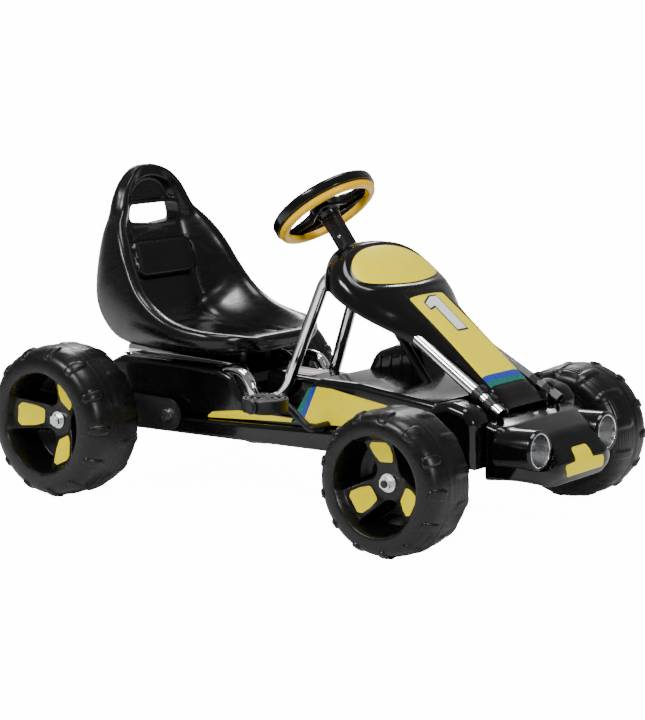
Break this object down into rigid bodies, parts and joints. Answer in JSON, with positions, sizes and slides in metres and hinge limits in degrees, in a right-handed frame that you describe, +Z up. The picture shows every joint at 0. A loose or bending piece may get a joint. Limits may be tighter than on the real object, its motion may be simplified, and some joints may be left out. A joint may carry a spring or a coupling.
{
  "type": "pedal go kart",
  "caption": "Child's pedal go kart with a bucket seat, bent chrome side tubes, a steering column under a cowl and wide moulded wheels.",
  "frame": {"origin": "ground point below the centre of the bounding box", "axes": "+X forward, +Y the driver's left, +Z up"},
  "size_m": [0.968, 0.645, 0.5438],
  "materials": {
    "gloss_black": "gloss moulded",
    "tyre_black": "satin moulded",
    "satin_black": "satin",
    "yellow": "gloss",
    "chrome": "polished plating",
    "zinc": "zinc plated",
    "black_steel": "black powder coat",
    "grey_steel": "dark grey powder coat",
    "nylon": "natural nylon",
    "lamp_grey": "metallic grey"
  },
  "bodies": {
    "chassis": {"body_tub": "gloss_black", "rear_fairing": "gloss_black", "front_fairing": "gloss_black", "chain_cover": "gloss_black", "centre_tunnel": "gloss_black", "front_deck": "gloss_black", "nose_shell": "gloss_black", "cowl": "gloss_black", "main_frame": "black_steel", "kingpins": "zinc", "column_bracket": "black_steel", "column_bush": "nylon", "body_screws": "black_steel", "crank_bushes": "nylon", "chain": "zinc", "seat_rails": "satin_black", "rear_bushes": "nylon", "rear_bracket_left": "grey_steel", "rear_bracket_right": "grey_steel", "bracket_bolts": "zinc", "side_tube_left": "chrome", "side_tube_right": "chrome", "axle_cover_left": "gloss_black", "axle_cover_right": "gloss_black", "lamp_ring_left": "chrome", "lamp_ring_right": "chrome", "lamp_bowl_left": "lamp_grey", "lamp_bowl_right": "lamp_grey", "tube_clamps": "satin_black", "clamp_screws": "black_steel"},
    "rear_axle": {"rear_axle": "zinc", "rear_sprocket": "zinc", "rear_wheel_left": "tyre_black", "rear_wheel_right": "tyre_black", "rear_wheel_nuts": "zinc", "axle_spacers": "zinc"},
    "crank": {"crank_rod": "black_steel", "chainring": "zinc", "pedal_caps": "satin_black"},
    "pedal_left": {"pedal_left": "satin_black"},
    "pedal_right": {"pedal_right": "satin_black"},
    "steering": {"steering_shaft": "black_steel", "column_sleeve": "satin_black", "steering_rim": "gloss_black", "steering_grip": "yellow", "steering_spokes": "gloss_black", "steering_cap": "gloss_black", "pitman_arm": "black_steel", "steering_nut": "zinc"},
    "knuckle_left": {"knuckle_left": "black_steel", "front_wheel_nut_left": "zinc"},
    "knuckle_right": {"knuckle_right": "black_steel", "front_wheel_nut_right": "zinc"},
    "front_wheel_left": {"front_wheel_left": "tyre_black"},
    "front_wheel_right": {"front_wheel_right": "tyre_black"},
    "tie_rod_left": {"tie_rod_left": "zinc"},
    "tie_rod_right": {"tie_rod_right": "zinc"},
    "seat": {"seat_shell": "gloss_black", "seat_runners": "satin_black"}
  },
  "joints": [
    {"name": "rear_axle_spin", "type": "hinge", "parent": "chassis", "child": "rear_axle", "pos_m": [-0.357, 0, 0.127], "axis": [0, 1, 0], "continuous": true},
    {"name": "crank_spin", "type": "hinge", "parent": "chassis", "child": "crank", "pos_m": [0.077, 0, 0.146], "axis": [0, 1, 0], "continuous": true},
    {"name": "pedal_left_spin", "type": "hinge", "parent": "crank", "child": "pedal_left", "pos_m": [0.13276, 0.199, 0.10724], "axis": [0, 1, 0], "continuous": true},
    {"name": "pedal_right_spin", "type": "hinge", "parent": "crank", "child": "pedal_right", "pos_m": [0.02124, -0.199, 0.18476], "axis": [0, 1, 0], "continuous": true},
    {"name": "steering_turn", "type": "hinge", "parent": "chassis", "child": "steering", "pos_m": [-0.017, 0, 0.476], "axis": [-0.6159, 0, 0.7878], "range_deg": [-30, 30]},
    {"name": "knuckle_left_steer", "type": "hinge", "parent": "chassis", "child": "knuckle_left", "pos_m": [0.313, 0.175, 0.112], "axis": [0, 0, 1], "range_deg": [-20, 20]},
    {"name": "tie_rod_left_swing", "type": "hinge", "parent": "knuckle_left", "child": "tie_rod_left", "pos_m": [0.253, 0.168, 0.0945], "axis": [0, 0, 1], "range_deg": [-22, 22]},
    {"name": "front_wheel_left_spin", "type": "hinge", "parent": "knuckle_left", "child": "front_wheel_left", "pos_m": [0.313, 0.259, 0.112], "axis": [0, 1, 0], "continuous": true},
    {"name": "knuckle_right_steer", "type": "hinge", "parent": "chassis", "child": "knuckle_right", "pos_m": [0.313, -0.175, 0.112], "axis": [0, 0, 1], "range_deg": [-20, 20]},
    {"name": "tie_rod_right_swing", "type": "hinge", "parent": "knuckle_right", "child": "tie_rod_right", "pos_m": [0.253, -0.168, 0.0885], "axis": [0, 0, 1], "range_deg": [-22, 22]},
    {"name": "front_wheel_right_spin", "type": "hinge", "parent": "knuckle_right", "child": "front_wheel_right", "pos_m": [0.313, -0.259, 0.112], "axis": [0, 1, 0], "continuous": true},
    {"name": "seat_slide", "type": "slide", "parent": "chassis", "child": "seat", "axis": [1, 0, 0], "range_m": [-0.02, 0.04]}
  ],
  "couplings": [
    {"joint": "crank_spin", "follows": "rear_axle_spin", "ratio": 0.5},
    {"joint": "knuckle_left_steer", "follows": "steering_turn", "ratio": 0.66},
    {"joint": "knuckle_right_steer", "follows": "steering_turn", "ratio": 0.66},
    {"joint": "tie_rod_left_swing", "follows": "steering_turn", "ratio": -0.68},
    {"joint": "tie_rod_right_swing", "follows": "steering_turn", "ratio": -0.68}
  ]
}
